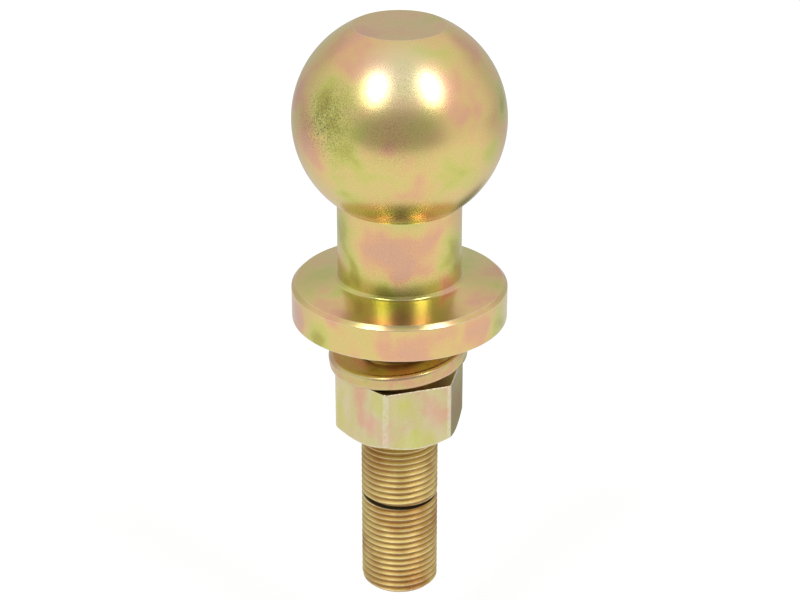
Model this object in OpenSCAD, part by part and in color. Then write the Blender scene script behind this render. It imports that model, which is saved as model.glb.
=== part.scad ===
// Bolt-on trailer tow ball with its spring washer and hex nut.
// The origin is on the axis, at the underside of the flange that seats on the drawbar.
// +Z points up to the ball, and the threaded shank hangs below the origin.

/* [Ball] */
// Diameter of the coupling ball
ball_d = 50; // [40:0.5:60]
// Height of the ball's centre above the flange seat
ball_height = 50; // [42:0.5:62]
// Diameter of the flat on top of the ball
top_flat_d = 21.6; // [8:0.2:26]

/* [Neck] */
// Diameter of the neck under the ball
neck_d = 29.5; // [22:0.5:36]
// Radius of the fillet where the neck meets the flange
neck_fillet = 1; // [0.5:0.1:2]

/* [Flange] */
// Diameter of the flange
flange_d = 51.6; // [42:0.2:62]
// Height of the flange at its rim
flange_h = 8.9; // [7:0.1:12]
// How much higher the flange is at the neck than at its rim
flange_rise = 1.5; // [0:0.1:2.5]
// Chamfer on the upper edge of the rim
rim_chamfer = 0.95; // [0.3:0.05:1.5]
// Broken edge round the seat
seat_edge = 0.2; // [0.1:0.05:0.5]

/* [Shank] */
// Major diameter of the threaded shank
shank_d = 19.05; // [15:0.05:23]
// Length of the shank under the flange seat
shank_len = 74; // [60:0.5:90]
// Unthreaded length under the flange
plain_len = 6; // [4:0.5:8]
// Chamfer at the free end of the shank
end_chamfer = 1.05; // [0.5:0.05:1.5]
// Distance of the turned groove from the free end
groove_from_end = 24.9; // [15:0.1:26]
// Width of the turned groove
groove_w = 0.6; // [0.5:0.1:1.5]
// Depth of the turned groove
groove_depth = 1.3; // [1:0.1:2]

/* [Thread] */
// Thread pitch
thread_pitch = 1.5875; // [1.25:0.0125:2]
// Depth of the external thread
thread_depth = 0.9; // [0.7:0.05:1.1]
// How far the thread crests lie below the major diameter
crest_allowance = 0.075; // [0.05:0.005:0.1]
// Radial clearance between the shank's thread and the nut's
thread_clearance = 0.2; // [0.15:0.01:0.25]

/* [Hex nut] */
// Nut size across flats
nut_af = 28.575; // [27.5:0.025:36]
// Nut height
nut_h = 16; // [12:0.5:20]
// Distance from the flange seat down to the nut's upper face
nut_drop = 14; // [13:0.1:22]
// Turn of the nut about its axis
nut_turn = 18; // [0:1:59]
// Angle of the chamfer on the nut's lower corners
nut_chamfer_angle = 38; // [25:1:45]
// How far inside the flats that chamfer starts
nut_chamfer_inset = 0.3; // [0.2:0.05:1]
// How much wider than the thread the nut's bore is countersunk, at each end
nut_countersink = 0.2; // [0.1:0.05:0.5]

/* [Spring washer] */
// Clearance between the tilted washer's bore and the shank
washer_bore_clearance = 0.05; // [0.05:0.01:0.3]
// Radial width of the washer's section
washer_w = 6.6; // [4:0.1:7]
// Thickness of the washer's section
washer_t = 4; // [3:0.1:5]
// Rounding of the washer's outer edges
washer_round = 1.2; // [0.6:0.1:1.4]
// How far one end of the split springs above the other
washer_spring = 2; // [1:0.1:3]
// Width of the split
washer_split = 3; // [2:0.5:5]
// Tilt of the loose washer towards its left side
washer_tilt = 7; // [0:0.5:8]
// Clearance left between the tilted washer and the nut
washer_rest_gap = 0.1; // [0.05:0.05:0.3]

/* [Hidden] */
$fn = 96;

ball_r = ball_d / 2;
neck_r = neck_d / 2;
flange_r = flange_d / 2;
shank_r = shank_d / 2;
// height of the top flat above the ball's centre
flat_rise = sqrt(ball_r * ball_r - top_flat_d * top_flat_d / 4);

crest_r = shank_r - crest_allowance;
root_r = shank_r - thread_depth;
crest_w = thread_pitch / 8;
root_w = thread_pitch / 5;
flank_w = (thread_pitch - crest_w - root_w) / 2;
thread_steps = 24;
// the thread starts a little inside the plain shank, so that the two are one piece
thread_top = -plain_len + thread_pitch;
thread_runout = thread_pitch / 4;
// the nut's thread starts a whole number of turns further down, so that the two mesh
nut_thread_top = thread_top - floor((nut_drop - plain_len) / thread_pitch - 1) * thread_pitch;

// the upper edge of the tilted bore comes nearest the shank a quarter of the way round the coil
washer_in = (shank_r + washer_bore_clearance
             + (washer_t + washer_spring / 4) * sin(washer_tilt)) / cos(washer_tilt);
washer_steps = 60;
split_angle = washer_split / (washer_in + washer_w / 2) * 180 / PI;
// the split faces away from the front
split_centre = 90;
bore_edge = 0.3;
nut_corner_r = nut_af / sqrt(3);
// how far the small end of each countersink lies inside the nut's thread
throat_inset = 0.3;
// how far a cut, or a hidden overlap of two shapes, runs past what it needs to reach
margin = 1;

steel_gold = "#cfb878";
shank_brass = "#b08f52";
washer_gold = "#c2a25c";
nut_pale = "#cfc690";

// ---------- thread ----------

// Radius and axial place of the four corners of one thread, from crest to root.
function thread_corner(k, grow) =
    k == 0 ? [crest_r + grow, 0] :
    k == 1 ? [crest_r + grow, crest_w] :
    k == 2 ? [root_r + grow, crest_w + flank_w] :
             [root_r + grow, crest_w + flank_w + root_w];

// A right-hand threaded rod that starts at z_top and runs down, grown radially by grow.
// Point k of step m follows one helix; corner 3 of each turn joins corner 0 of the next.
module threaded_rod(z_top, length, grow = 0) {
    n = thread_steps;
    last = (ceil(length / thread_pitch) + 1) * n;
    function at(k, m) = 4 * m + k;
    corners = [for (m = [0 : last], k = [0 : 3])
        let (c = thread_corner(k, grow), a = -360 * m / n)
        [c[0] * cos(a), c[0] * sin(a), z_top - thread_pitch * m / n - c[1]]];
    top = len(corners);
    bottom = top + 1;
    ends = [[0, 0, z_top - thread_pitch / 2],
            [0, 0, z_top - thread_pitch * (last / n + 0.5)]];
    bands = [for (m = [0 : last - 1], k = [0 : 2])
        [at(k, m), at(k + 1, m), at(k + 1, m + 1), at(k, m + 1)]];
    joins = [for (m = [0 : last - n - 1])
        [at(3, m), at(0, m + n), at(0, m + n + 1), at(3, m + 1)]];
    top_fan = [for (m = [0 : n - 1]) [top, at(0, m), at(0, m + 1)]];
    top_step = [[top, at(0, n), at(3, 0), at(2, 0), at(1, 0), at(0, 0)]];
    bottom_fan = [for (m = [last - n : last - 1]) [bottom, at(3, m + 1), at(3, m)]];
    bottom_step = [[bottom, at(3, last - n), at(0, last), at(1, last), at(2, last), at(3, last)]];
    polyhedron(points = concat(corners, ends),
               faces = concat(bands, joins, top_fan, top_step, bottom_fan, bottom_step));
}

// ---------- ball stud ----------

// Half section of the flange, with the fillet that runs into the neck.
module flange_section() {
    run = flange_r - rim_chamfer - neck_r;
    slope = atan(flange_rise / run);
    foot = flange_h + flange_rise;
    centre = [neck_r + neck_fillet,
              foot - neck_fillet * tan(slope) + neck_fillet / cos(slope)];
    touch = centre - neck_fillet * [sin(slope), cos(slope)];
    inside_r = neck_r - margin;
    polygon([[0, 0], [flange_r - seat_edge, 0], [flange_r, seat_edge],
             [flange_r, flange_h - rim_chamfer], [flange_r - rim_chamfer, flange_h],
             [neck_r, foot], [0, foot]]);
    // the corner between neck and flange, less the circle that touches both
    difference() {
        polygon([[inside_r, foot - margin], touch - [0, margin], touch, centre,
                 [inside_r, centre[1]]]);
        translate(centre)
            circle(r = neck_fillet);
    }
}

module head_section() {
    intersection() {
        union() {
            translate([0, ball_height])
                circle(r = ball_r, $fn = 180);
            square([neck_r, ball_height]);
            flange_section();
            // the plain shank under the seat
            translate([0, -plain_len])
                square([shank_r, plain_len + margin]);
        }
        translate([0, -plain_len])
            square([flange_d, plain_len + ball_height + flat_rise]);
    }
}

module threaded_end() {
    intersection() {
        threaded_rod(thread_top, shank_len);
        rotate_extrude()
            polygon([[0, -shank_len], [shank_r - end_chamfer, -shank_len],
                     [shank_r + margin, -shank_len + end_chamfer + margin],
                     [shank_r + margin, -plain_len + thread_runout],
                     [0, -plain_len + thread_runout]]);
    }
}

module groove_ring() {
    z = -shank_len + groove_from_end;
    translate([0, 0, z - groove_w / 2])
        difference() {
            cylinder(r = shank_r + margin, h = groove_w);
            translate([0, 0, -margin])
                cylinder(r = shank_r - groove_depth, h = groove_w + 2 * margin);
        }
}

module ball_stud() {
    color(steel_gold)
        rotate_extrude()
            head_section();
    color(shank_brass)
        difference() {
            threaded_end();
            groove_ring();
        }
}

// ---------- hex nut ----------

// Cuts the lower corners of the hexagon back to a cone.
module corner_cone() {
    z = -nut_drop - nut_h;
    inner = nut_af / 2 - nut_chamfer_inset;
    outer = nut_corner_r + margin;
    rotate_extrude()
        polygon([[0, z], [inner, z], [outer, z + (outer - inner) * tan(nut_chamfer_angle)],
                 [outer, -nut_drop], [0, -nut_drop]]);
}

module nut_bore() {
    threaded_rod(nut_thread_top, nut_h + 3 * thread_pitch, thread_clearance);
    // each countersink is a 45 degree cone that ends just inside the bore
    mouth = crest_r + thread_clearance + nut_countersink;
    throat = root_r + thread_clearance - throat_inset;
    depth = mouth - throat;
    translate([0, 0, -nut_drop - depth])
        cylinder(r1 = throat, r2 = mouth, h = depth);
    translate([0, 0, -nut_drop - nut_h])
        cylinder(r1 = mouth, r2 = throat, h = depth);
}

module hex_nut() {
    color(nut_pale)
        difference() {
            intersection() {
                translate([0, 0, -nut_drop - nut_h])
                    rotate([0, 0, nut_turn])
                        cylinder(r = nut_corner_r, h = nut_h, $fn = 6);
                corner_cone();
            }
            nut_bore();
        }
}

// ---------- spring washer ----------

// Corners of the washer's section: sharp-edged at the bore, well rounded outside.
function washer_section() =
    let (e = bore_edge, r = washer_round, w = washer_w, t = washer_t)
    concat([[e, 0], [0, e], [0, t - e], [e, t]],
           [for (a = [90 : -30 : 0]) [w - r + r * cos(a), t - r + r * sin(a)]],
           [for (a = [0 : -30 : -90]) [w - r + r * cos(a), r + r * sin(a)]]);

// Turn, tilt and lift of a point of the washer, which hangs loose on the shank.
function washer_lean(p) =
    [p[0] * cos(washer_tilt) - p[2] * sin(washer_tilt), p[1],
     p[2] * cos(washer_tilt) + p[0] * sin(washer_tilt)];

// The coil runs clockwise from the low end of the split up to the high end.
function washer_points() =
    let (section = washer_section(), sweep = 360 - split_angle)
    [for (i = [0 : washer_steps], c = section)
        let (a = split_centre - split_angle / 2 - sweep * i / washer_steps, r = washer_in + c[0])
        washer_lean([r * cos(a), r * sin(a), c[1] + washer_spring * i / washer_steps])];

module spring_washer() {
    points = washer_points();
    k = len(washer_section());
    walls = [for (i = [0 : washer_steps - 1], j = [0 : k - 1])
        [i * k + j, i * k + (j + 1) % k, (i + 1) * k + (j + 1) % k, (i + 1) * k + j]];
    low_end = [[for (j = [k - 1 : -1 : 0]) j]];
    high_end = [[for (j = [0 : k - 1]) washer_steps * k + j]];
    lowest = min([for (p = points) p[2]]);
    color(washer_gold)
        translate([0, 0, washer_rest_gap - nut_drop - lowest])
            polyhedron(points = points, faces = concat(walls, low_end, high_end));
}

ball_stud();
spring_washer();
hex_nut();
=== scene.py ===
"""Bolt-on trailer tow ball with its spring washer and hex nut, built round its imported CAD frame.

It is laid out as an add-on: one operator makes each piece, and one makes the stage.
"""

import math

import bmesh
import bpy
from bpy.props import FloatProperty, FloatVectorProperty, PointerProperty
from bpy.types import NodeSocket, Operator, Panel, PropertyGroup
from mathutils import Matrix, Vector


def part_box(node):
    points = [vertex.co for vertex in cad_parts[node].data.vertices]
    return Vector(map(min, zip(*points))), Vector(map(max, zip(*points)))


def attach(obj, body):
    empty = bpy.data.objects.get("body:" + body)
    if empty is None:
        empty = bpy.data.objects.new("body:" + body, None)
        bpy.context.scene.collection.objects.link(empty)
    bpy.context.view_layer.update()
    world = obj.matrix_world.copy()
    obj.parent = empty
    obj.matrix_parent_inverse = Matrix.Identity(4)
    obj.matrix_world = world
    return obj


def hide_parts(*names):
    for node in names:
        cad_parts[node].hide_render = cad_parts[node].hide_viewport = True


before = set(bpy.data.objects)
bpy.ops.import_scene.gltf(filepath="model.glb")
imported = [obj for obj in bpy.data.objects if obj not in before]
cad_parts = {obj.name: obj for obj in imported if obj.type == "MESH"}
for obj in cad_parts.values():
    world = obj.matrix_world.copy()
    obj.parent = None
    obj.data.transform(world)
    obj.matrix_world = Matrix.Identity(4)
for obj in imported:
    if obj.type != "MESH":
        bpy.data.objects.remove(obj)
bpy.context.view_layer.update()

bl_info = {
    "name": "Tow Ball",
    "version": (1, 0, 0),
    "blender": (4, 5, 0),
    "location": "3D View > Sidebar > Tow Ball",
    "description": "Makes a bolt-on trailer tow ball in yellow zinc plate, with its washer and nut",
    "category": "Object",
}

MM = 0.001
UP = Vector((0, 0, 1))
# facets round the turned faces, round one turn of the thread, down the ball and round the coil
LATHE_STEPS = 192
THREAD_STEPS = 72
BALL_STEPS = 60
COIL_STEPS = 180
SHARP_EDGE = math.radians(42)
# the stud's materials, in the order of their slots on the mesh
BALL, THREAD, GROOVE, FLANGE = range(4)


# ---------- properties ----------

def linear(hex_code):
    """An sRGB hex colour as the linear red, green and blue that shaders work in."""
    parts = [int(hex_code[i:i + 2], 16) / 255 for i in (1, 3, 5)]
    return tuple(c / 12.92 if c <= 0.04045 else ((c + 0.055) / 1.055) ** 2.4 for c in parts)


def length(name, description, millimetres):
    """A length property, given in millimetres and held in metres."""
    return FloatProperty(name=name, description=description, default=millimetres * MM,
                         min=0, precision=4, unit="LENGTH")


def angle(name, description, degrees):
    """An angle property, given in degrees and held in radians."""
    return FloatProperty(name=name, description=description, default=math.radians(degrees),
                         subtype="ANGLE")


def colour(name, description, hex_code):
    """A colour property, given as an sRGB hex code and held linear."""
    return FloatVectorProperty(name=name, description=description, default=linear(hex_code),
                               size=3, min=0, max=1, subtype="COLOR")


class TOWBALL_PG_stud(PropertyGroup):
    """Sizes of the ball, its neck, the flange and the shank."""
    ball_d: length("Ball", "Diameter of the coupling ball", 50)
    ball_height: length("Ball height", "Height of the ball's centre above the seat", 50)
    flat_d: length("Top flat", "Diameter of the flat on top of the ball", 21.6)
    flat_round: length("Flat's edge", "Rounding of the edge of the top flat", 0.8)
    neck_d: length("Neck", "Diameter of the neck", 29.5)
    throat_fillet: length("Upper fillet", "Fillet between the ball and the neck", 0.5)
    neck_fillet: length("Lower fillet", "Fillet between the neck and the flange", 1)
    flange_h: length("Flange", "Height of the flange at its rim", 8.9)
    flange_rise: length("Flange rise", "How much higher the flange is at the neck", 1.5)
    rim_chamfer: length("Rim chamfer", "Chamfer on the upper edge of the rim", 0.95)
    edge_round: length("Broken edges", "Rounding of the turned edges", 0.28)
    shank_d: length("Shank", "Major diameter of the shank", 19.05)
    plain_len: length("Plain shank", "Unthreaded length under the seat", 6)
    end_chamfer: length("End chamfer", "Chamfer at the free end of the shank", 1.05)
    groove_from_end: length("Groove's place", "Distance of the groove from the free end", 24.9)
    groove_w: length("Groove width", "Width of the turned groove", 0.6)
    groove_depth: length("Groove depth", "Depth of the turned groove", 1.3)


class TOWBALL_PG_thread(PropertyGroup):
    """Sizes of the fine thread that the shank and the nut share."""
    pitch: length("Pitch", "Distance from crest to crest", 1.5875)
    depth: length("Depth", "Depth of the root below the major diameter", 0.9)
    crest_allowance: length("Crest allowance", "How far crests lie below the major diameter", 0.075)
    clearance: length("Clearance", "Radial clearance between shank and nut", 0.2)
    crest_round: length("Crest rounding", "Rounding of the crest's corners", 0.09)
    root_round: length("Root rounding", "Rounding of the root's corners", 0.14)


class TOWBALL_PG_nut(PropertyGroup):
    """Sizes of the hex nut."""
    across_flats: length("Across flats", "Size across the flats", 28.575)
    corner_round: length("Corner rounding", "Rounding of the six upright corners", 1.6)
    edge_round: length("Upper edge", "Rounding of the worn upper edge", 0.22)
    crease_round: length("Chamfer edge", "Rounding where the chamfer meets the flats", 0.4)
    chamfer_angle: angle("Chamfer angle", "Slope of the chamfer on the lower corners", 38)
    chamfer_inset: length("Chamfer inset", "How far inside the flats the chamfer starts", 0.3)
    countersink: length("Countersink", "How much wider than the thread each mouth is", 0.2)
    turn: angle("Turn", "Turn of the nut about its axis", 18)


class TOWBALL_PG_washer(PropertyGroup):
    """Sizes of the split spring washer."""
    bore_r: length("Bore radius", "Radius of the bore", 10.2)
    width: length("Width", "Radial width of the section", 6.6)
    thickness: length("Thickness", "Thickness of the section", 4)
    outer_round: length("Outer rounding", "Rounding of the outer edges", 1.2)
    inner_round: length("Inner rounding", "Rounding of the edges at the bore", 0.3)
    spring: length("Spring", "How far one end springs above the other", 2)
    split: length("Split", "Width of the split", 3)
    end_bevel: length("End bevel", "Bevel on the sheared ends", 0.25)
    tilt: angle("Tilt", "Tilt of the loose washer", 7)


class TOWBALL_PG_finish(PropertyGroup):
    """Colours of the yellow passivate, from its thinnest film to its thickest."""
    olive: colour("Olive", "Thinnest film", "#b3ab52")
    lime: colour("Lime", "Thin film", "#cac76b")
    gold: colour("Gold", "Usual film", "#d9c67c")
    amber: colour("Amber", "Rather thick film", "#e0bf80")
    salmon: colour("Salmon", "Thick film", "#e0ad86")
    rose: colour("Rose", "Thickest film", "#d8a98c")
    brass: colour("Brass", "Film in the thread", "#b3904a")
    umber: colour("Umber", "Film in the thread's roots", "#a06c3a")
    pale: colour("Pale", "Film on the nut", "#d0c28e")
    # the next colour is also painted as a highlight along edges and thread crests, and as a sheen
    # near the ball's highlights
    bare_and_sheen: colour("Bare", "Edges rubbed back to the zinc", "#e8e2cf")
    # the next colour darkens the groove and the plate's grain, and is also painted shade in front
    # of the neck and round the ball's highlights
    dark_and_shade: colour("Soot", "Dirt in the groove, and dark stains", "#6a6044")


class TOWBALL_PG_stage(PropertyGroup):
    """Sizes and levels of the table, the lamps and the room."""
    table_front: length("Table front", "How far the table reaches in front", 600)
    table_back: length("Table back", "How far the table reaches behind", 1500)
    table_drop: length("Table drop", "How far the table lies below the shank", 29.5)
    lamp_w: length("Lamp width", "Width of each softbox", 345)
    lamp_h: length("Lamp height", "Height of each softbox", 590)
    lamp_away: length("Lamp distance", "Distance of each softbox from the ball", 1000)
    lamp_power: FloatProperty(name="Lamp power", description="Power of each softbox in watts",
                              default=3.0, min=0, unit="POWER")
    room: FloatProperty(name="Room", description="Brightness of the white room", default=0.88,
                        min=0, max=1)
    dark: FloatProperty(name="Dark side", description="Brightness of the room's unlit side",
                        default=0.43, min=0, max=1)


# ---------- shapes ----------

def rounded(corners, closed=False, facets=4, guard=0.2 * MM, longest=None):
    """Points of an outline whose corners (x, y, rounding) become arcs.

    A straight that meets an arc gets a point close to each end, so that shading and wear stay
    near its edges, and is split evenly where it is longer than longest.
    """
    arcs = []
    for i, (x, y, rounding) in enumerate(corners):
        here = Vector((x, y))
        if rounding == 0:
            arcs.append([here])
            continue
        back = (Vector(corners[i - 1][:2]) - here).normalized()
        on = (Vector(corners[(i + 1) % len(corners)][:2]) - here).normalized()
        half = back.angle(on) / 2
        centre = here + (back + on).normalized() * rounding / math.sin(half)
        first = here + back * rounding / math.tan(half) - centre
        last = here + on * rounding / math.tan(half) - centre
        sweep = -first.angle_signed(last)
        arcs.append([centre + Matrix.Rotation(sweep * k / facets, 2) @ first
                     for k in range(facets + 1)])
    points = []
    for i, arc in enumerate(arcs):
        points += arc
        if i == len(arcs) - 1 and not closed:
            break
        following = arcs[(i + 1) % len(arcs)]
        if guard == 0 or len(arc) == len(following) == 1:
            continue
        start, end = arc[-1], following[0]
        share = min(guard / (end - start).length, 1 / 3)
        near, far = start.lerp(end, share), end.lerp(start, share)
        pieces = math.ceil((far - near).length / longest) if longest else 1
        points += [near.lerp(far, k / pieces) for k in range(pieces + 1)]
    return points


def chain(bm, points, closed=False):
    """A chain of new edges through points, as (vertices, edges)."""
    verts = [bm.verts.new(p) for p in points]
    ends = verts[1:] + verts[:1] if closed else verts[1:]
    return verts, [bm.edges.new(pair) for pair in zip(verts, ends)]


def lathe(bm, outline, steps=LATHE_STEPS):
    """Spins an outline of (radius, height) once round Z."""
    verts, edges = chain(bm, [(r, 0, z) for r, z in outline])
    bmesh.ops.spin(bm, geom=verts + edges, cent=(0, 0, 0), axis=UP, dvec=(0, 0, 0),
                   angle=math.tau, steps=steps, use_merge=True, use_duplicate=False)


def slice_at(bm, height, keep=None):
    """Cuts every face at a height, and keeps both sides or only the one "above" or "below" it."""
    geom = bm.verts[:] + bm.edges[:] + bm.faces[:]
    cut = bmesh.ops.bisect_plane(bm, geom=geom, dist=1e-7, plane_co=(0, 0, height), plane_no=UP,
                                 clear_outer=keep == "below", clear_inner=keep == "above")
    return [e for e in cut["geom_cut"] if isinstance(e, bmesh.types.BMEdge)]


def set_radius(vert, radius):
    """Moves a vertex to a radius from the axis, and keeps its height and bearing."""
    flat = Vector((vert.co.x, vert.co.y, 0)).normalized() * radius
    vert.co.x, vert.co.y = flat.x, flat.y


def radius_of(vert):
    """A vertex's distance from the axis."""
    return math.hypot(vert.co.x, vert.co.y)


def rims(bm):
    """The open edges, as a list of loops from the lowest to the highest, in a repeatable order."""
    bm.edges.index_update()
    loops = []
    left = {e for e in bm.edges if len(e.link_faces) == 1}
    while left:
        loop, grown = set(), {left.pop()}
        while grown:
            loop |= grown
            grown = {e for g in grown for v in g.verts for e in v.link_edges} & left
            left -= grown
        loops.append(sorted(loop, key=lambda e: e.index))
    return sorted(loops, key=lambda loop: (round(loop[0].verts[0].co.z, 6), loop[0].index))


def thread_section(thread, shank_d, grow):
    """(radius, height) down one pitch of thread, from the middle of a crest to that of the next."""
    crest = shank_d / 2 - thread.crest_allowance + grow
    root = shank_d / 2 - thread.depth + grow
    pitch = thread.pitch
    crest_w, root_w = pitch / 8, pitch / 5
    flank_w = (pitch - crest_w - root_w) / 2
    falls = (crest_w / 2, crest_w, crest_w + flank_w, pitch - flank_w, pitch, pitch + crest_w / 2)
    radii = (crest, crest, root, root, crest, crest)
    turns = (0, thread.crest_round, thread.root_round, thread.root_round, thread.crest_round, 0)
    return rounded([(r, -fall, turn) for r, fall, turn in zip(radii, falls, turns)],
                   facets=3, guard=0)


def thread_skin(bm, thread, stud, top, bottom, grow=0.0):
    """Right-hand thread between two heights: one turn is spun, copied down the axis and trimmed."""
    pitch = thread.pitch
    start = -stud.plain_len + pitch
    first = math.floor((start - top) / pitch) - 1
    last = math.ceil((start - bottom) / pitch) + 1
    section = thread_section(thread, stud.shank_d, grow)
    verts, edges = chain(bm, [(r, 0, start - first * pitch + z) for r, z in section])
    bmesh.ops.spin(bm, geom=verts + edges, cent=(0, 0, 0), axis=UP,
                   dvec=(0, 0, pitch / THREAD_STEPS), angle=math.tau, steps=THREAD_STEPS,
                   use_merge=False, use_duplicate=False)
    turn = bm.verts[:] + bm.edges[:] + bm.faces[:]
    for k in range(1, last - first + 1):
        copy = bmesh.ops.duplicate(bm, geom=turn)["geom"]
        bmesh.ops.translate(bm, vec=(0, 0, -k * pitch),
                            verts=[v for v in copy if isinstance(v, bmesh.types.BMVert)])
    bmesh.ops.remove_doubles(bm, verts=bm.verts, dist=pitch / 500)
    slice_at(bm, top, keep="below")
    slice_at(bm, bottom, keep="above")


def join(bm, other):
    """Adds another bmesh's faces to bm and frees it."""
    mesh = bpy.data.meshes.new("part")
    other.to_mesh(mesh)
    other.free()
    bm.from_mesh(mesh)
    bpy.data.meshes.remove(mesh)


def mark_wear_and_sheen(bm, keen_radius):
    """Stores on each vertex how sharply the surface turns outwards, since edges rub back to the
    zinc first and are painted paler as a highlight too.
    """
    blunt, keen = 1 / (3 * MM), 1 / keen_radius
    layer = bm.verts.layers.float.new("wear_and_sheen")
    for edge in bm.edges:
        if len(edge.link_faces) != 2:
            continue
        one, two = edge.link_faces
        apart = (one.calc_center_median() - two.calc_center_median()).length
        bend = edge.calc_face_angle_signed(0) / max(apart, 1e-6)
        wear_and_sheen = min(max((bend - blunt) / (keen - blunt), 0), 1)
        for vert in edge.verts:
            vert[layer] = max(vert[layer], wear_and_sheen)


def make_piece(bm, name, materials, body, keen_radius=0.4 * MM):
    """Closes the shape's seams, turns its faces outwards and makes it a piece of the object."""
    bmesh.ops.remove_doubles(bm, verts=bm.verts, dist=1e-6)
    bmesh.ops.recalc_face_normals(bm, faces=bm.faces)
    mark_wear_and_sheen(bm, keen_radius)
    for face in bm.faces:
        face.smooth = True
    mesh = bpy.data.meshes.new(name)
    bm.to_mesh(mesh)
    bm.free()
    mesh.set_sharp_from_angle(angle=SHARP_EDGE)
    for material in materials:
        mesh.materials.append(material)
    piece = bpy.data.objects.new(name, mesh)
    bpy.context.scene.collection.objects.link(piece)
    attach(piece, body)
    return piece


# ---------- finishes ----------

def node(tree, kind, inputs=None, **settings):
    """Adds a shader node, with its settings and with its inputs set or linked."""
    made = tree.nodes.new("ShaderNode" + kind)
    for name, value in settings.items():
        setattr(made, name, value)
    for key, value in (inputs or {}).items():
        if isinstance(value, NodeSocket):
            tree.links.new(value, made.inputs[key])
        else:
            made.inputs[key].default_value = value
    return made


def new_material(name):
    """An empty node material and the node tree it is drawn in."""
    material = bpy.data.materials.new(name)
    material.use_nodes = True
    material.node_tree.nodes.clear()
    return material, material.node_tree


def finish_colour(name):
    """A colour of the finish by its name, opaque."""
    return (*getattr(bpy.context.scene.towball_finish, name), 1)


def blend_colours(tree, share, first, second):
    """A mix of two colours by a share from 0 to 1."""
    mix = node(tree, "Mix", {"Factor": share, "A": first, "B": second}, data_type="RGBA")
    return mix.outputs["Result"]


# Where the passivate on the stud ran thin (below 0) or stayed thick (above 0), with some patches
# placed as painted shade, such as the darker olive on the flange's top in front of the neck: place
# and reach in millimetres, then by how much.
STUD_FILM_AND_SHADE = (
    # the ball: front, then back
    (-10, -12, 69, 10, 0.34), (-16, -15, 62, 10, -0.28), (-16, -18, 56, 7, -0.25),
    (-20, -15, 52, 9, 0.4), (20, -13, 57, 10, 0.24), (11, -11, 69, 9, -0.26),
    (5, -24, 42, 9, 0.26), (-15, -18, 41, 8, -0.12), (-10, -22, 49, 8, -0.2),
    (14, -20, 42, 7, -0.12), (22, -5, 40, 9, 0.28), (22, -11, 55, 8, -0.35),
    (-23, -8, 58, 8, 0.26), (0, -18, 28, 12, -0.42), (24, -6, 56, 7, -0.3),
    (0, -17, 33, 6, -0.3), (-14, -20, 48, 8, -0.16),
    (8, 20, 60, 12, -0.3), (-12, 18, 48, 11, 0.28), (-3, 22, 38, 8, -0.2), (15, 16, 45, 10, 0.26),
    # the neck
    (1, -15, 22, 15, 0.55), (6, -13, 12, 6, -0.5), (-4, -14, 11, 5, -0.2),
    (-13, -8, 22, 9, -0.42), (-11, -10, 13, 7, -0.45), (13, -8, 20, 9, -0.38),
    (12, -9, 12, 5, 0.5), (0, -15, 16, 4, 0.35), (0, 15, 20, 11, -0.3),
    # the flange
    (-1, -26, 3, 20, 0.34), (-19, -18, 1, 9, -0.4), (18, -19, 3, 9, 0.26),
    (24, -10, 3, 8, -0.45), (-25, -7, 3, 9, 0.35), (-24, -11, 4, 6, 0.2),
    (-20, -4, 10, 9, -0.35), (-17, -7, 10, 4, 0.3), (20, -12, 10, 6, 0.2),
    (22, -4, 10, 7, -0.2), (0, -18, 11, 13, -0.5), (7, -22, 11, 8, -0.3),
    (10, 23, 4, 11, 0.3), (-14, 21, 4, 11, -0.3),
)
# grainy painted shade round the ball's highlights: place and reach in millimetres, then how much
# more
STUD_GRAINY_SHADE = ((-2, -23, 57, 13, 0.4), (-17, -17, 56, 12, 1), (-11, -19, 63, 8, 0.25),
             (1, -19, 66, 8, 0.35), (-14, -20, 49, 9, 0.15))
NUT_FILM = (
    (-10, -11, -18, 6, 0.4), (-14, -6, -25, 7, -0.4), (-7, -13, -23, 5, 0.4),
    (-5, -14, -20, 4, -0.15), (1, -15, -19, 4, -0.3), (2, -15, -28, 6, -0.4),
    (6, -13, -17, 7, 0.35), (11, -10, -22, 6, 0.3), (8, -13, -28, 5, -0.35),
    (5, 14, -20, 8, 0.4), (-9, 11, -25, 7, -0.4), (-14, 2, -19, 7, 0.3),
)


def placed_patch(tree, place, level, x, y, z, reach, extra):
    """Raises a level by extra at a place in millimetres, fading to nothing at its reach."""
    gap = node(tree, "VectorMath", {0: place, 1: (x * MM, y * MM, z * MM)}, operation="DISTANCE")
    patch = node(tree, "MapRange", {"Value": gap.outputs["Value"], "From Min": reach * MM,
                                    "From Max": 0.0, "To Max": extra},
                 interpolation_type="SMOOTHSTEP")
    return node(tree, "Math", {0: level, 1: patch.outputs[0]}).outputs[0]


def out_and_up(tree, place):
    """Distance from the axis and height of a place, as two node outputs."""
    axes = node(tree, "SeparateXYZ", {0: place})
    level = node(tree, "CombineXYZ", {0: axes.outputs[0], 1: axes.outputs[1]})
    out = node(tree, "VectorMath", {0: level.outputs[0]}, operation="LENGTH")
    return out.outputs["Value"], axes.outputs[2]


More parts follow.
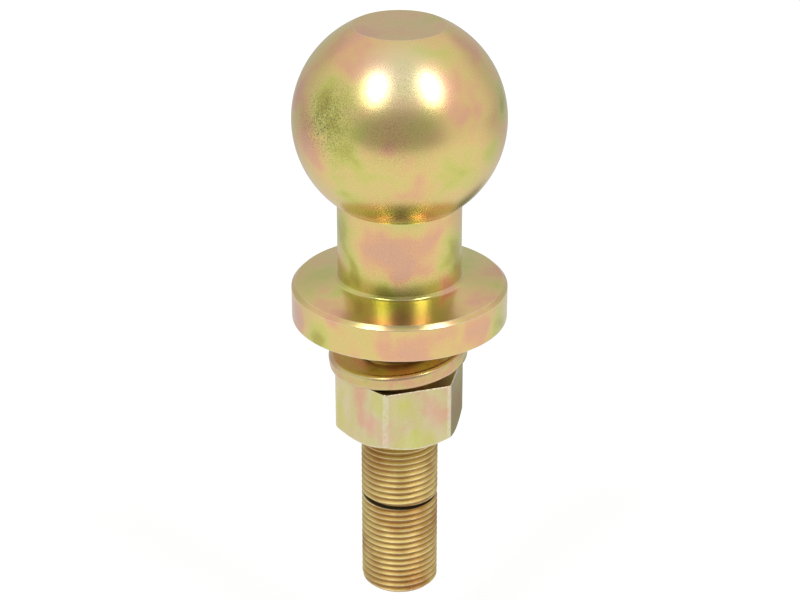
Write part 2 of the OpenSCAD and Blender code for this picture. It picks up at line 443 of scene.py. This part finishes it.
def film_thickness(tree, place, patches, unevenness, cloud_size):
    """How thick the passivate is, about 0 to 1: broad clouds, fine mottling and placed patches."""
    cloud, mottle, wander = 1 / cloud_size, 1 / (3 * MM), 5 * MM
    drift = node(tree, "TexNoise", {"Vector": place, "Scale": 1 / (8 * MM), "Detail": 3.0})
    centred = node(tree, "VectorMath", {0: drift.outputs["Color"], 1: (0.5, 0.5, 0.5)},
                   operation="SUBTRACT")
    wandered = node(tree, "VectorMath", {0: centred.outputs[0], 1: (wander,) * 3, 2: place},
                    operation="MULTIPLY_ADD").outputs[0]
    broad = node(tree, "TexNoise", {"Vector": wandered, "Scale": cloud, "Detail": 2.0})
    fine = node(tree, "TexNoise", {"Vector": place, "Scale": mottle, "Detail": 5.0})
    clouds = node(tree, "MapRange", {"Value": broad.outputs["Fac"], "From Min": 0.3,
                                     "From Max": 0.7, "To Min": 0.5 - unevenness,
                                     "To Max": 0.5 + unevenness})
    specks = node(tree, "MapRange", {"Value": fine.outputs["Fac"], "To Min": -0.1, "To Max": 0.1})
    film = node(tree, "Math", {0: clouds.outputs[0], 1: specks.outputs[0]}).outputs[0]
    # on the stud some of these patches are painted shade
    for patch in patches:
        film = placed_patch(tree, wandered, film, *patch)
    return film


def film_colour(tree, film, colours):
    """The passivate's colour at each film thickness: colours evenly along a ramp."""
    ramp = node(tree, "ValToRGB", {"Fac": film})
    stops = ramp.color_ramp.elements
    while len(stops) < len(colours):
        stops.new(0.5)
    for i, shade in enumerate(colours):
        stops[i].position = i / (len(colours) - 1)
        stops[i].color = shade
    return ramp.outputs["Color"]


def zinc_plate(name, colours, patches=(), unevenness=0.3, cloud_size=12 * MM, roughness=0.27,
               grain=0.15, turned=0.0, wear_and_sheen_share=0.6, shade_spots=(), tint=None):
    """Yellow-passivated zinc plate on steel: a satin metal whose film shifts from olive to rose.

    grain is the height of the plate's fine frosting and turned that of the lathe's marks, in
    hundredths of a millimetre. tint(tree, place, base) may tone the base colour further.
    """
    material, tree = new_material(name)
    place = node(tree, "TexCoord").outputs["Object"]
    base = film_colour(tree, film_thickness(tree, place, patches, unevenness, cloud_size),
                       colours)
    if tint:
        base = tint(tree, place, base)

    # edges rubbed back to paler zinc, in an uneven line, and painted paler as a highlight along
    # edges and thread crests
    wear_and_sheen = node(tree, "Attribute", attribute_name="wear_and_sheen").outputs["Fac"]
    scuffs = node(tree, "TexNoise", {"Vector": place, "Scale": 1 / (0.9 * MM), "Detail": 3.0})
    scuffed = node(tree, "MapRange", {"Value": scuffs.outputs["Fac"], "From Min": 0.35,
                                      "From Max": 0.6, "To Min": 0.25 * wear_and_sheen_share,
                                      "To Max": wear_and_sheen_share})
    rubbed_and_sheen = node(tree, "Math", {0: wear_and_sheen, 1: scuffed.outputs[0]}, operation="MULTIPLY")
    base = blend_colours(tree, rubbed_and_sheen.outputs[0], base, finish_colour("bare_and_sheen"))

    # frosting of the plate: real crystals are finer, and are drawn just coarse enough to show
    frost = node(tree, "TexNoise", {"Vector": place, "Scale": 1 / (0.35 * MM), "Detail": 3.0,
                                    "Roughness": 0.65}).outputs["Fac"]
    grain_and_shade_share = 0.07
    # the placed spots add grainy painted shade
    for spot in shade_spots:
        grain_and_shade_share = placed_patch(tree, place, grain_and_shade_share, *spot)
    grainy_darkening = node(tree, "MapRange", {"Value": frost, "From Min": 0.42, "From Max": 0.68,
                                     "To Max": grain_and_shade_share})
    base = blend_colours(tree, grainy_darkening.outputs[0], base, finish_colour("dark_and_shade"))
    rough = node(tree, "MapRange", {"Value": frost, "From Min": 0.3, "From Max": 0.7,
                                    "To Min": roughness - 0.04, "To Max": roughness + 0.05})
    normal = node(tree, "Bump", {"Height": frost, "Strength": 1.0,
                                 "Distance": 0.01 * grain * MM}).outputs[0]
    if turned:
        # the tool's feed marks: rings that follow radius on level faces and height on upright ones
        out, up = out_and_up(tree, place)
        along = node(tree, "Math", {0: out, 1: up})
        rings = node(tree, "TexNoise", {"W": along.outputs[0], "Scale": 1 / (0.5 * MM),
                                        "Detail": 3.0}, noise_dimensions="1D")
        normal = node(tree, "Bump", {"Height": rings.outputs["Fac"], "Strength": 1.0,
                                     "Distance": 0.01 * turned * MM, "Normal": normal}).outputs[0]
    # the sealed film adds a hazy colourless gloss of its own
    shader = node(tree, "BsdfPrincipled", {"Base Color": base, "Metallic": 1.0,
                                           "Roughness": rough.outputs[0], "Normal": normal,
                                           "Coat Weight": 0.35, "Coat Roughness": 0.4})
    node(tree, "OutputMaterial", {"Surface": shader.outputs[0]})
    return material


def film_colours(*names):
    """The named colours of the finish, in order."""
    return [finish_colour(name) for name in names]


def rose_top_and_sheen(tree, place, base):
    """A pinker film on the flat top, faced off on its own, and pale patches, partly rubbed by
    couplers and partly a painted sheen in front, high among the lamps' highlights and low among
    their reflections.
    """
    height = node(tree, "SeparateXYZ", {0: place}).outputs[2]
    on_top = node(tree, "MapRange", {"Value": height, "From Min": 72.3 * MM,
                                     "From Max": 72.5 * MM, "To Max": 0.25})
    base = blend_colours(tree, on_top.outputs[0], base, finish_colour("rose"))
    rubbed_and_sheen = placed_patch(tree, place, 0.0, 0, -18, 67, 13, 0.4)
    rubbed_and_sheen = placed_patch(tree, place, rubbed_and_sheen, 0, -17, 33, 6, 0.4)
    return blend_colours(tree, rubbed_and_sheen, base, finish_colour("bare_and_sheen"))


def turned_zinc():
    """Turned and plated steel of the ball, neck and flange: clouds of gold, lime and salmon."""
    return zinc_plate("zinc_plated_turned_steel",
                      film_colours("olive", "lime", "gold", "amber", "salmon", "rose"),
                      STUD_FILM_AND_SHADE, turned=0.5, shade_spots=STUD_GRAINY_SHADE, tint=rose_top_and_sheen)


def painted_shade_foot(tree, place, base):
    """Painted shade on the flange's top in front of the neck, which darkens the lamps' reflections
    there.
    """
    painted_shade = placed_patch(tree, place, 0.0, 1, -21, 10, 18, 0.8)
    height = node(tree, "SeparateXYZ", {0: place}).outputs[2]
    top = bpy.context.scene.towball_stud.flange_h
    on_top = node(tree, "MapRange", {"Value": height, "From Min": top - 1.2 * MM,
                                     "From Max": top - 0.1 * MM})
    share = node(tree, "Math", {0: painted_shade, 1: on_top.outputs[0]}, operation="MULTIPLY")
    return blend_colours(tree, share.outputs[0], base, finish_colour("dark_and_shade"))


def flange_zinc():
    """Plated flange: the same clouded film on a finer turned face, which mirrors the neck."""
    return zinc_plate("zinc_plated_turned_flange",
                      film_colours("olive", "lime", "gold", "amber", "salmon", "rose"),
                      STUD_FILM_AND_SHADE, roughness=0.2, grain=0.06, turned=0.6, wear_and_sheen_share=0.45,
                      tint=painted_shade_foot)


def browned_roots(tree, place, base):
    """A thick brown film down in the thread, where the bath drained last."""
    shank_r = bpy.context.scene.towball_stud.shank_d / 2
    out, _ = out_and_up(tree, place)
    deep = node(tree, "MapRange", {"Value": out, "From Min": shank_r - 0.2 * MM,
                                   "From Max": shank_r - 0.9 * MM, "To Max": 0.7})
    return blend_colours(tree, deep.outputs[0], base, finish_colour("umber"))


def thread_zinc():
    """Plated thread: the film lies thicker and browner in the roots."""
    return zinc_plate("zinc_plated_thread", film_colours("brass", "gold", "brass", "umber"),
                      unevenness=0.3, roughness=0.45, wear_and_sheen_share=0.5, tint=browned_roots)


def groove_steel():
    """Turned groove: dull dark steel."""
    return zinc_plate("dark_turned_steel", film_colours("dark_and_shade", "dark_and_shade"), roughness=0.45,
                      wear_and_sheen_share=0.1)


def drawn_streaks(tree, place, base):
    """Paler upright smears, left by the drawn bar that the nut was cut from."""
    drawn = node(tree, "VectorMath", {0: place, 1: (1, 1, 0.3)}, operation="MULTIPLY")
    smears = node(tree, "TexNoise", {"Vector": drawn.outputs[0], "Scale": 1 / (3 * MM),
                                     "Detail": 3.0})
    share = node(tree, "MapRange", {"Value": smears.outputs["Fac"], "From Min": 0.4,
                                    "From Max": 0.75, "To Max": 0.22})
    return blend_colours(tree, share.outputs[0], base, finish_colour("bare_and_sheen"))


def nut_zinc():
    """Plated nut: a paler, more silvery film with broad smears."""
    return zinc_plate("zinc_plated_nut", film_colours("lime", "pale", "rose"), NUT_FILM,
                      unevenness=0.4, cloud_size=7 * MM, roughness=0.33, wear_and_sheen_share=0.8,
                      tint=drawn_streaks)


def darker_steel(tree, place, base):
    """A little of the dark spring steel showing through the film."""
    return blend_colours(tree, 0.18, base, finish_colour("dark_and_shade"))


def washer_zinc():
    """Plated spring steel: golden, a little brighter where it is rolled round."""
    return zinc_plate("zinc_plated_spring_steel",
                      film_colours("olive", "gold", "salmon", "gold"), unevenness=0.4,
                      cloud_size=8 * MM, roughness=0.24, turned=0.4, tint=darker_steel)


# ---------- pieces ----------

def stud_outline(stud):
    """(radius, height) from the middle of the top flat to the foot of the plain shank."""
    low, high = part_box("ball_stud")
    ball_r, neck_r, rim_r = stud.ball_d / 2, stud.neck_d / 2, high.x
    start = math.asin(stud.flat_d / 2 / ball_r)
    end = math.pi - math.asin(neck_r / ball_r)
    turns = [start + (end - start) * i / BALL_STEPS for i in range(BALL_STEPS + 1)]
    ball = [[ball_r * math.sin(a), stud.ball_height + ball_r * math.cos(a), 0] for a in turns]
    ball[0][2] = stud.flat_round
    ball[-1][2] = stud.throat_fillet
    return rounded([
        (0, ball[0][1], 0),
        *ball,
        (neck_r, stud.flange_h + stud.flange_rise, stud.neck_fillet),
        (rim_r - stud.rim_chamfer, stud.flange_h, stud.edge_round),
        (rim_r, stud.flange_h - stud.rim_chamfer, stud.edge_round),
        (rim_r, 0, stud.edge_round),
        (stud.shank_d / 2, 0, stud.edge_round),
        (stud.shank_d / 2, -stud.plain_len, 0),
    ])


def thread_shank(stud, thread):
    """The threaded shank: a thread that fades in at its top, a groove and a chamfered end."""
    bm = bmesh.new()
    top, bottom = -stud.plain_len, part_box("ball_stud")[0].z
    shank_r = stud.shank_d / 2
    crest_r = shank_r - thread.crest_allowance
    thread_skin(bm, thread, stud, top, bottom)

    # the groove's walls lean by this much, so that each has two rings of vertices
    wall = 0.03 * MM
    middle = bottom + stud.groove_from_end
    half = stud.groove_w / 2
    for height in (middle - half, middle - half + wall, middle + half - wall, middle + half):
        slice_at(bm, height)
    # rings at, below and above the upper edge of the end's chamfer
    for rise in (0.35, 0.7, 1, 1.4):
        slice_at(bm, bottom + rise * stud.end_chamfer)
    for vert in bm.verts:
        r, z = radius_of(vert), vert.co.z
        fade = min((top - z) / thread.pitch, 1)
        r = crest_r - (crest_r - r) * fade * fade * (3 - 2 * fade)
        r = min(r, shank_r - stud.end_chamfer + (z - bottom))
        if abs(z - middle) < half - wall / 2:
            r = shank_r - stud.groove_depth
        set_radius(vert, r)
    end = bmesh.ops.contextual_create(bm, geom=rims(bm)[0])["faces"]
    bmesh.ops.inset_region(bm, faces=end, thickness=0.4 * MM)
    bmesh.ops.poke(bm, faces=end)
    for face in bm.faces:
        z = face.calc_center_median().z
        face.material_index = GROOVE if abs(z - middle) < half else THREAD
    return bm


class TOWBALL_OT_ball_stud(Operator):
    """Makes the ball, neck, flange and threaded shank, which are one forging"""
    bl_idname = "towball.ball_stud"
    bl_label = "Ball Stud"

    def execute(self, context):
        stud, thread = context.scene.towball_stud, context.scene.towball_thread
        bm = bmesh.new()
        lathe(bm, stud_outline(stud))
        bmesh.ops.remove_doubles(bm, verts=bm.verts, dist=1e-6)
        join(bm, thread_shank(stud, thread))
        low, high = rims(bm)
        bmesh.ops.bridge_loops(bm, edges=low + high)
        flange_top = stud.flange_h + stud.flange_rise + stud.neck_fillet / 2
        for face in bm.faces:
            if face.material_index == BALL and face.calc_center_median().z < flange_top:
                face.material_index = FLANGE
        piece = make_piece(bm, "stud_finish",
                           [turned_zinc(), thread_zinc(), groove_steel(), flange_zinc()],
                           "stud")
        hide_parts("ball_stud")
        return {"FINISHED"}


def nut_plan(nut):
    """The nut's hexagon seen from above, with its corners rounded."""
    corner_r = nut.across_flats / math.sqrt(3)
    turns = [nut.turn + math.tau * k / 6 for k in range(6)]
    return rounded([(corner_r * math.cos(a), corner_r * math.sin(a), nut.corner_round)
                    for a in turns], closed=True, facets=8, longest=1.3 * MM)


def nut_upright(nut, reach, low, high, mouth):
    """(radius, height) up the nut's outside, where its flats or corners reach that far out."""
    foot, foot_round = nut.across_flats / 2 - nut.chamfer_inset, 0.1 * MM
    crease = low + (reach - foot) * math.tan(nut.chamfer_angle)
    crease_round = min(nut.crease_round, 0.9 * (reach - foot))
    return rounded([
        (mouth, low, 0),
        (foot, low, foot_round),
        (reach, crease, crease_round),
        (reach, high, nut.edge_round),
        (mouth, high, 0),
    ])


def nut_shell(nut, low, high, mouth):
    """The nut's outside, as uprights stitched side by side round the hexagon."""
    bm = bmesh.new()
    plan = nut_plan(nut)
    uprights = [nut_upright(nut, p.length, low, high, mouth) for p in plan]
    rows = len(uprights[0])
    ring, edges = chain(bm, [(*(p.normalized() * uprights[i][0].x), uprights[i][0].y)
                             for i, p in enumerate(plan)], closed=True)
    for row in range(1, rows):
        out = bmesh.ops.extrude_edge_only(bm, edges=edges)["geom"]
        edges = [e for e in out if isinstance(e, bmesh.types.BMEdge) and e.is_boundary]
        ring = ring_after(ring, out)
        for vert, p, upright in zip(ring, plan, uprights):
            vert.co = (*(p.normalized() * upright[row].x), upright[row].y)
    return bm


def ring_after(ring, extruded):
    """The new ring of vertices that an extrusion made, in the old ring's order."""
    fresh = {v for v in extruded if isinstance(v, bmesh.types.BMVert)}
    return [next(e.other_vert(v) for e in v.link_edges if e.other_vert(v) in fresh) for v in ring]


def nut_bore(nut, stud, thread, low, high, mouth):
    """The nut's thread, opened into a countersink at each end."""
    bm = bmesh.new()
    thread_skin(bm, thread, stud, high, low, thread.clearance)
    depth = mouth - (stud.shank_d / 2 - thread.depth + thread.clearance)
    for share in (0.2, 0.4, 0.6, 0.8, 1):
        slice_at(bm, high - share * depth)
        slice_at(bm, low + share * depth)
    for vert in bm.verts:
        end = min(high - vert.co.z, vert.co.z - low)
        set_radius(vert, max(radius_of(vert), mouth - end))
    return bm


class TOWBALL_OT_hex_nut(Operator):
    """Makes the hex nut, with worn corners, chamfered below and threaded through"""
    bl_idname = "towball.hex_nut"
    bl_label = "Hex Nut"

    def execute(self, context):
        scene = context.scene
        nut, stud, thread = scene.towball_nut, scene.towball_stud, scene.towball_thread
        low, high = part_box("hex_nut")[0].z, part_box("hex_nut")[1].z
        mouth = stud.shank_d / 2 - thread.crest_allowance + thread.clearance + nut.countersink
        # width of the worn ring between each end face and its countersink
        lip = 0.15 * MM
        bm = nut_shell(nut, low, high, mouth + lip)
        join(bm, nut_bore(nut, stud, thread, low, high, mouth))
        loops = rims(bm)
        bmesh.ops.bridge_loops(bm, edges=loops[0] + loops[1])
        bmesh.ops.bridge_loops(bm, edges=loops[2] + loops[3])
        piece = make_piece(bm, "nut_finish", [nut_zinc()], "nut",
                           keen_radius=1.2 * MM)
        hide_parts("hex_nut")
        return {"FINISHED"}


class TOWBALL_OT_spring_washer(Operator):
    """Makes the split spring washer, coiled and hanging tilted on the shank"""
    bl_idname = "towball.spring_washer"
    bl_label = "Spring Washer"

    def execute(self, context):
        washer = context.scene.towball_washer
        inner, outer = washer.bore_r, washer.bore_r + washer.width
        section = rounded([(inner, 0, washer.inner_round), (outer, 0, washer.outer_round),
                           (outer, washer.thickness, washer.outer_round),
                           (inner, washer.thickness, washer.inner_round)], closed=True, facets=6)
        split = washer.split / (inner + washer.width / 2)
        bm = bmesh.new()
        verts, edges = chain(bm, [(r, 0, z) for r, z in section], closed=True)
        face = bm.faces.new(verts)
        # the split faces +Y, and the coil climbs clockwise from its low end
        bmesh.ops.rotate(bm, verts=verts, matrix=Matrix.Rotation(math.pi / 2 - split / 2, 3, "Z"))
        bmesh.ops.spin(bm, geom=[face], cent=(0, 0, 0), axis=UP,
                       dvec=(0, 0, washer.spring / COIL_STEPS), angle=split - math.tau,
                       steps=COIL_STEPS, use_merge=False, use_duplicate=False)
        ends = {f for f in bm.faces if len(f.verts) > 4}
        bmesh.ops.recalc_face_normals(bm, faces=bm.faces)
        bmesh.ops.bevel(bm, geom=[e for e in bm.edges if not ends.isdisjoint(e.link_faces)],
                        offset=washer.end_bevel, affect="EDGES", segments=2, profile=0.5,
                        material=-1)
        bmesh.ops.rotate(bm, verts=bm.verts, matrix=Matrix.Rotation(-washer.tilt, 3, "Y"))
        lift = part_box("spring_washer")[0].z - min(v.co.z for v in bm.verts)
        bmesh.ops.translate(bm, verts=bm.verts, vec=(0, 0, lift))
        piece = make_piece(bm, "washer_finish", [washer_zinc()], "washer")
        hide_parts("spring_washer")
        return {"FINISHED"}


# ---------- stage ----------

def white_table(stage, ground):
    """A pale table top that ends in front of the object, where the room is unlit.

    It lies just under the place where the unscrewed nut comes to rest.
    """
    bm = bmesh.new()
    bmesh.ops.create_grid(bm, x_segments=1, y_segments=1, size=stage.table_back)
    for vert in bm.verts:
        vert.co.y = max(vert.co.y, -stage.table_front)
        vert.co.z = ground
    mesh = bpy.data.meshes.new("table")
    bm.to_mesh(mesh)
    bm.free()
    material, tree = new_material("white_laminate")
    place = node(tree, "TexCoord").outputs["Object"]
    behind = node(tree, "SeparateXYZ", {0: place}).outputs[1]
    # a metal sees the laminate dim towards the back, and a patch of painted shade behind on the
    # right
    reflected = node(tree, "MapRange", {"Value": behind, "From Min": 0.0,
                                        "From Max": 300 * MM, "To Min": 0.6, "To Max": 0.25})
    offset = node(tree, "VectorMath", {0: place, 1: (65 * MM, 130 * MM, ground)},
                  operation="SUBTRACT")
    away = node(tree, "VectorMath", {0: offset.outputs[0]}, operation="LENGTH")
    dim = node(tree, "MapRange", {"Value": away.outputs["Value"], "From Min": 80 * MM,
                                  "From Max": 20 * MM}, interpolation_type="SMOOTHSTEP")
    # the glow lifts the laminate to white for the camera, and the matt share keeps the shadow
    distance = node(tree, "VectorMath", {0: place}, operation="LENGTH")
    shown = node(tree, "MapRange", {"Value": distance.outputs["Value"], "From Min": 150 * MM,
                                    "From Max": 600 * MM, "To Min": 0.66, "To Max": 0.76})
    seen = node(tree, "LightPath").outputs["Is Camera Ray"]
    lift = node(tree, "MapRange", {"Value": seen, "To Min": reflected.outputs[0],
                                   "To Max": shown.outputs[0]})
    matt = node(tree, "BsdfDiffuse", {"Color": (0.34, 0.34, 0.34, 1)})
    glow = node(tree, "Emission", {"Color": (1, 1, 1, 1), "Strength": lift.outputs[0]})
    both = node(tree, "AddShader", {0: matt.outputs[0], 1: glow.outputs[0]})
    unseen = node(tree, "Math", {0: 1.0, 1: seen}, operation="SUBTRACT")
    share = node(tree, "Math", {0: dim.outputs[0], 1: unseen.outputs[0]}, operation="MULTIPLY")
    shaded = node(tree, "BsdfDiffuse", {"Color": (0.12, 0.105, 0.07, 1)})
    whole = node(tree, "MixShader", {0: share.outputs[0], 1: both.outputs[0], 2: shaded.outputs[0]})
    node(tree, "OutputMaterial", {"Surface": whole.outputs[0]})
    mesh.materials.append(material)
    table = bpy.data.objects.new("table", mesh)
    bpy.context.scene.collection.objects.link(table)


def softbox(name, stage, aim, bearing, height, lean):
    """A tall oval lamp that faces the ball from a bearing (0 is in front) and a height angle."""
    away = Vector((math.sin(bearing) * math.cos(height), -math.cos(bearing) * math.cos(height),
                   math.sin(height)))
    data = bpy.data.lights.new(name, "AREA")
    data.shape = "ELLIPSE"
    data.size, data.size_y = stage.lamp_w, stage.lamp_h
    data.energy = stage.lamp_power
    lamp = bpy.data.objects.new(name, data)
    lamp.location = aim + away * stage.lamp_away
    upright = away.to_track_quat("Z", "Y").to_matrix()
    lamp.rotation_euler = (upright @ Matrix.Rotation(lean, 3, "Z")).to_euler()
    lamp.visible_camera = False
    bpy.context.scene.collection.objects.link(lamp)


def white_room(stage):
    """A white room, unlit low down in front and dim behind, as a metal sees it.

    The camera sees only white.
    """
    world = bpy.data.worlds.new("white_room")
    world.use_nodes = True
    tree = world.node_tree
    tree.nodes.clear()
    axes = node(tree, "SeparateXYZ", {0: node(tree, "TexCoord").outputs["Generated"]})
    ahead = node(tree, "MapRange", {"Value": axes.outputs["Y"], "From Min": -0.5,
                                    "From Max": -0.85}, interpolation_type="SMOOTHSTEP")
    low = node(tree, "MapRange", {"Value": axes.outputs["Z"], "From Min": 0.62,
                                  "From Max": 0.42}, interpolation_type="SMOOTHSTEP")
    behind = node(tree, "MapRange", {"Value": axes.outputs["Y"], "From Min": 0.2, "From Max": 0.7,
                                     "To Max": 0.6}, interpolation_type="SMOOTHSTEP")
    ends = node(tree, "Math", {0: ahead.outputs[0], 1: behind.outputs[0]})
    unlit = node(tree, "Math", {0: ends.outputs[0], 1: low.outputs[0]}, operation="MULTIPLY")
    level = node(tree, "MapRange", {"Value": unlit.outputs[0], "To Min": stage.room,
                                    "To Max": stage.dark})
    seen = node(tree, "LightPath").outputs["Is Camera Ray"]
    shown = node(tree, "MapRange", {"Value": seen, "To Min": level.outputs[0], "To Max": 1.0})
    back = node(tree, "Background", {"Color": (1, 1, 1, 1), "Strength": shown.outputs[0]})
    node(tree, "OutputWorld", {"Surface": back.outputs[0]})
    bpy.context.scene.world = world


def add_camera(aim):
    """The camera, in front of the object and looking down on it."""
    pitch, yaw = math.radians(25.78), math.radians(-0.014)
    data = bpy.data.cameras.new("camera")
    data.sensor_width = 36
    data.lens = 99.83
    camera = bpy.data.objects.new("camera", data)
    camera.location = (0, -478.76 * MM, 234.7 * MM)
    camera.rotation_euler = (math.pi / 2 - pitch, 0, yaw)
    bpy.context.scene.collection.objects.link(camera)
    bpy.context.scene.camera = camera


class TOWBALL_OT_stage(Operator):
    """Makes the table, the two softboxes, the white room and the camera"""
    bl_idname = "towball.stage"
    bl_label = "Stage"

    def execute(self, context):
        stage = context.scene.towball_stage
        aim = Vector((0, 0, context.scene.towball_stud.ball_height))
        white_table(stage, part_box("ball_stud")[0].z - stage.table_drop)
        softbox("left_softbox", stage, aim, bearing=math.radians(-36),
                height=math.radians(47), lean=math.radians(14))
        softbox("right_softbox", stage, aim, bearing=math.radians(47.5),
                height=math.radians(45), lean=math.radians(-16))
        white_room(stage)
        add_camera(aim)
        context.scene.view_settings.view_transform = "Standard"
        return {"FINISHED"}


# ---------- panel and registration ----------

STEPS = (TOWBALL_OT_ball_stud, TOWBALL_OT_spring_washer, TOWBALL_OT_hex_nut, TOWBALL_OT_stage)
GROUPS = {
    "towball_stud": TOWBALL_PG_stud,
    "towball_thread": TOWBALL_PG_thread,
    "towball_nut": TOWBALL_PG_nut,
    "towball_washer": TOWBALL_PG_washer,
    "towball_finish": TOWBALL_PG_finish,
    "towball_stage": TOWBALL_PG_stage,
}


class TOWBALL_PT_panel(Panel):
    """Lists the steps and the sizes and colours they use"""
    bl_idname = "TOWBALL_PT_panel"
    bl_label = "Tow Ball"
    bl_space_type = "VIEW_3D"
    bl_region_type = "UI"
    bl_category = "Tow Ball"

    def draw(self, context):
        for step in STEPS:
            self.layout.operator(step.bl_idname)
        for name, group in GROUPS.items():
            box = self.layout.box()
            for key in group.__annotations__:
                box.prop(getattr(context.scene, name), key)


CLASSES = (*GROUPS.values(), *STEPS, TOWBALL_PT_panel)


def register():
    """Adds the classes and the property groups."""
    for cls in CLASSES:
        bpy.utils.register_class(cls)
    for name, group in GROUPS.items():
        setattr(bpy.types.Scene, name, PointerProperty(type=group))


def unregister():
    """Takes the classes and the property groups away again."""
    for name in GROUPS:
        delattr(bpy.types.Scene, name)
    for cls in reversed(CLASSES):
        bpy.utils.unregister_class(cls)


def main():
    """Makes every piece and the stage."""
    register()
    for step in STEPS:
        area, name = step.bl_idname.split(".")
        getattr(getattr(bpy.ops, area), name)()


if __name__ == "__main__":
    main()
